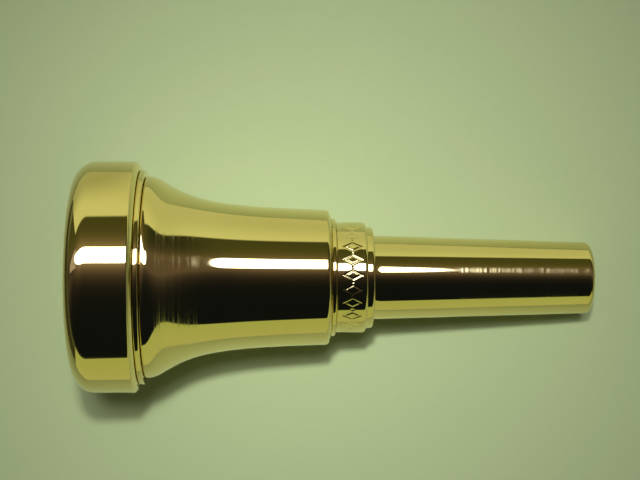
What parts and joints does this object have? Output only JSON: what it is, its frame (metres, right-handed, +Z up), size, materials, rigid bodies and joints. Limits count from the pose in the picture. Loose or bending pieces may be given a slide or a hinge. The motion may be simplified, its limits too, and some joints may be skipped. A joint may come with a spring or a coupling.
{
  "type": "brass instrument mouthpiece",
  "caption": "Cup mouthpiece for a brass instrument, turned from brass, with a screw-on rim, a flared cup, a screw-in backbore and a tapered shank, lying at rest.",
  "frame": {"origin": "on the ground, under the middle of the box around the mouthpiece as it lies on the edge of its rim and on its tip", "axes": "+X points from the rim towards the tip, with the mouthpiece's own axis dropping 10.0 degrees below +X in the XZ plane; +Z is up"},
  "size_m": [0.0632, 0.0276, 0.0279],
  "materials": {
    "polished_brass": "mirror polished with fine lathe lines and a few hairline scratches",
    "handled_brass": "polished collar with engraved bands, and a shank dulled by turning scratches near the tip"
  },
  "bodies": {
    "cup": {"cup": "polished_brass"},
    "rim_spacer": {"rim_spacer": "polished_brass"},
    "rim": {"rim": "polished_brass"},
    "backbore_spacer": {"backbore_spacer": "polished_brass"},
    "backbore": {"backbore": "handled_brass"}
  },
  "joints": [
    {"name": "rim_travel", "type": "slide", "parent": "cup", "child": "rim_spacer", "axis": [-0.9848, 0, 0.1738], "range_m": [0, 0.00425]},
    {"name": "rim_screw", "type": "hinge", "parent": "rim_spacer", "child": "rim", "pos_m": [-0.0247, 0, 0.01393], "axis": [-0.9848, 0, 0.1738], "range_deg": [0, 1530]},
    {"name": "backbore_travel", "type": "slide", "parent": "cup", "child": "backbore_spacer", "axis": [0.9848, 0, -0.1738], "range_m": [0, 0.006]},
    {"name": "backbore_screw", "type": "hinge", "parent": "backbore_spacer", "child": "backbore", "pos_m": [0.01469, 0, 0.00698], "axis": [0.9848, 0, -0.1738], "range_deg": [0, 2160]}
  ],
  "couplings": [
    {"joint": "rim_travel", "follows": "rim_screw", "m_per_rad": 0.00015915},
    {"joint": "backbore_travel", "follows": "backbore_screw", "m_per_rad": 0.00015915}
  ]
}
